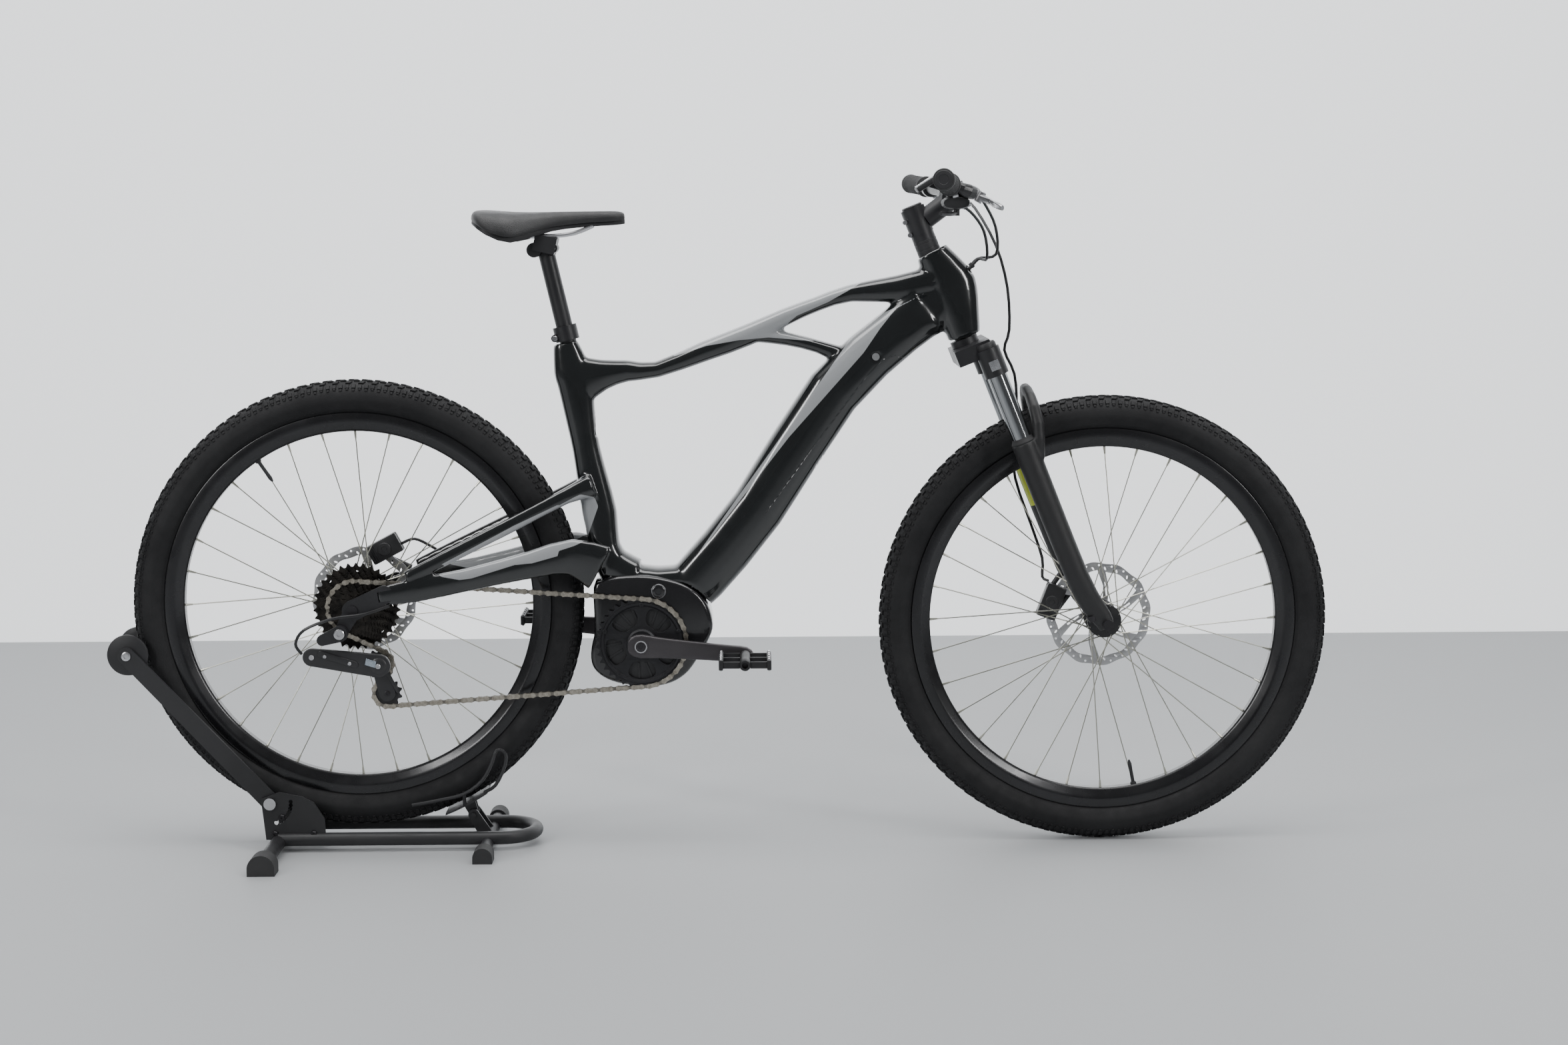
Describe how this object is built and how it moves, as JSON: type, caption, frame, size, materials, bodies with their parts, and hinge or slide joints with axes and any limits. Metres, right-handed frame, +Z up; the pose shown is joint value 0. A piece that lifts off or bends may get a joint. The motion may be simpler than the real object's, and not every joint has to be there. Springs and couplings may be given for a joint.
{
  "type": "bicycle on stand",
  "caption": "Hardtail mountain bicycle with a motor at its cranks, held upright by the rear wheel in a folding floor stand.",
  "frame": {"origin": "on the floor under the middle of the whole object", "axes": "+X to the front wheel, +Y to the rider's left, +Z up"},
  "size_m": [2.0128, 0.7728, 1.1085],
  "materials": {
    "black_paint": "gloss clear coat over black, with silver-grey panels",
    "satin_black_metal": "satin black",
    "tyre_rubber": "matt",
    "rim_black": "anodised black",
    "bright_steel": "brushed",
    "spoke_steel": "drawn wire",
    "stanchion_chrome": "hard chrome",
    "crank_grey": "anodised dark grey",
    "black_plastic": "moulded",
    "gloss_plastic": "polished",
    "rubber_black": "matt",
    "grip_rubber": "ribbed",
    "saddle_cover": "synthetic, fine grain",
    "chain_steel": "oiled",
    "silver_alloy": "satin",
    "screen_grey": "clear cover over a pale screen",
    "cell_case": "moulded"
  },
  "bodies": {
    "stand": {"base_tube": "satin_black_metal", "rubber_feet": "rubber_black", "side_plates": "satin_black_metal", "pivot_bolts": "bright_steel", "cradle_bracket": "satin_black_metal"},
    "wheel_arm": {"hold_arms": "satin_black_metal"},
    "roller": {"tyre_roller": "black_plastic"},
    "cradle": {"wheel_cradle": "satin_black_metal"},
    "frame": {"head_tube": "black_paint", "top_tube": "black_paint", "down_tube": "black_paint", "seat_tube": "black_paint", "chainstays": "black_paint", "seatstays": "black_paint", "dropouts": "satin_black_metal", "motor_unit": "gloss_plastic", "battery_pack": "cell_case", "seat_clamp": "satin_black_metal", "rear_axle": "satin_black_metal", "rear_caliper": "black_plastic", "rear_hoses": "rubber_black", "chain": "chain_steel"},
    "power_button": {"power_button": "silver_alloy"},
    "derailleur": {"derailleur_arm": "black_plastic"},
    "cage": {"derailleur_cage": "black_plastic"},
    "upper_pulley": {"upper_pulley": "black_plastic"},
    "lower_pulley": {"lower_pulley": "black_plastic"},
    "seat": {"seatpost": "satin_black_metal", "seat_rails": "bright_steel", "saddle": "saddle_cover"},
    "steering": {"fork_crown": "satin_black_metal", "stanchions": "stanchion_chrome", "stem": "satin_black_metal", "handlebar": "satin_black_metal", "grips": "grip_rubber", "display": "screen_grey", "shifter": "black_plastic", "brake_masters": "black_plastic", "front_hoses": "rubber_black"},
    "brake_lever_right": {"brake_lever_right": "silver_alloy"},
    "brake_lever_left": {"brake_lever_left": "silver_alloy"},
    "shift_lever": {"shift_lever": "black_plastic"},
    "fork": {"fork_lowers": "satin_black_metal", "front_axle": "satin_black_metal", "front_caliper": "black_plastic"},
    "front_wheel": {"front_tyre": "tyre_rubber", "front_rim": "rim_black", "front_spokes": "spoke_steel", "front_hub": "rim_black", "front_rotor": "bright_steel"},
    "rear_wheel": {"rear_tyre": "tyre_rubber", "rear_rim": "rim_black", "rear_spokes": "spoke_steel", "rear_hub": "rim_black", "rear_rotor": "bright_steel"},
    "cassette": {"cassette": "crank_grey"},
    "crank": {"crankset": "crank_grey", "chainring": "crank_grey"},
    "pedal_right": {"pedal_right": "black_plastic"},
    "pedal_left": {"pedal_left": "black_plastic"}
  },
  "joints": [
    {"name": "arm_fold", "type": "hinge", "parent": "stand", "child": "wheel_arm", "pos_m": [-0.74365, 0, 0.081], "axis": [0, 1, 0], "range_deg": [-50, 0]},
    {"name": "roller_spin", "type": "hinge", "parent": "wheel_arm", "child": "roller", "pos_m": [-0.97235, 0, 0.32806], "axis": [0, 1, 0], "continuous": true},
    {"name": "cradle_rock", "type": "hinge", "parent": "stand", "child": "cradle", "pos_m": [-0.41365, 0, 0.05], "axis": [0, 1, 0], "range_deg": [-3, 3]},
    {"name": "bike_lift", "type": "slide", "parent": "stand", "child": "frame", "axis": [0, 0, 1], "range_m": [0, 0.3]},
    {"name": "steering", "type": "hinge", "parent": "frame", "child": "steering", "pos_m": [0.40416, 0, 0.83145], "axis": [-0.3697, 0, 0.9291], "range_deg": [-75, 75], "deforming": ["front_hoses"]},
    {"name": "fork_travel", "type": "slide", "parent": "steering", "child": "fork", "axis": [-0.3697, 0, 0.9291], "range_m": [0, 0.1], "stiffness_N_per_m": 6000, "springref_m": -0.03, "deforming": ["front_hoses"]},
    {"name": "front_wheel_spin", "type": "hinge", "parent": "fork", "child": "front_wheel", "pos_m": [0.63435, 0, 0.372], "axis": [0, 1, 0], "continuous": true},
    {"name": "rear_wheel_spin", "type": "hinge", "parent": "frame", "child": "rear_wheel", "pos_m": [-0.59665, 0, 0.405], "axis": [0, 1, 0], "continuous": true},
    {"name": "crank_spin", "type": "hinge", "parent": "frame", "child": "crank", "pos_m": [-0.12865, 0, 0.344], "axis": [0, 1, 0], "continuous": true},
    {"name": "cassette_spin", "type": "hinge", "parent": "frame", "child": "cassette", "pos_m": [-0.59665, 0, 0.405], "axis": [0, 1, 0], "continuous": true},
    {"name": "pedal_right_spin", "type": "hinge", "parent": "crank", "child": "pedal_right", "pos_m": [0.0407, 0, 0.32918], "axis": [0, 1, 0], "continuous": true},
    {"name": "pedal_left_spin", "type": "hinge", "parent": "crank", "child": "pedal_left", "pos_m": [-0.298, 0, 0.35882], "axis": [0, 1, 0], "continuous": true},
    {"name": "derailleur_shift", "type": "slide", "parent": "frame", "child": "derailleur", "axis": [0, 1, 0], "range_m": [-0.012, 0.016], "deforming": ["chain", "rear_hoses"]},
    {"name": "cage_tension", "type": "hinge", "parent": "derailleur", "child": "cage", "pos_m": [-0.55665, -0.05, 0.314], "axis": [0, 1, 0], "range_deg": [-30, 40], "stiffness_Nm_per_rad": 1.2, "deforming": ["chain", "rear_hoses"]},
    {"name": "upper_pulley_spin", "type": "hinge", "parent": "cage", "child": "upper_pulley", "pos_m": [-0.56065, -0.05, 0.312], "axis": [0, 1, 0], "continuous": true},
    {"name": "lower_pulley_spin", "type": "hinge", "parent": "cage", "child": "lower_pulley", "pos_m": [-0.54665, -0.05, 0.264], "axis": [0, 1, 0], "continuous": true},
    {"name": "seat_height", "type": "slide", "parent": "frame", "child": "seat", "axis": [-0.225, 0, 0.9744], "range_m": [-0.07, 0.04]},
    {"name": "brake_lever_right_pull", "type": "hinge", "parent": "steering", "child": "brake_lever_right", "pos_m": [0.40844, -0.218, 1.06651], "axis": [0.5026, 0, 0.8645], "range_deg": [-18, 0], "stiffness_Nm_per_rad": 0.8, "springref_deg": 22.92},
    {"name": "brake_lever_left_pull", "type": "hinge", "parent": "steering", "child": "brake_lever_left", "pos_m": [0.40844, 0.218, 1.06651], "axis": [0.5026, 0, 0.8645], "range_deg": [0, 18], "stiffness_Nm_per_rad": 0.8, "springref_deg": -22.92},
    {"name": "shift_lever_push", "type": "hinge", "parent": "steering", "child": "shift_lever", "pos_m": [0.37494, -0.18, 1.04197], "axis": [0, 0, 1], "range_deg": [0, 25], "stiffness_Nm_per_rad": 0.3, "springref_deg": -22.92},
    {"name": "power_button_press", "type": "slide", "parent": "frame", "child": "power_button", "axis": [0, 1, 0], "range_m": [0, 0.0015], "stiffness_N_per_m": 400, "springref_m": -0.002}
  ],
  "couplings": [
    {"joint": "cassette_spin", "follows": "crank_spin", "ratio": 1.6364},
    {"joint": "upper_pulley_spin", "follows": "crank_spin", "ratio": -3.2727},
    {"joint": "lower_pulley_spin", "follows": "crank_spin", "ratio": 3.2727}
  ]
}
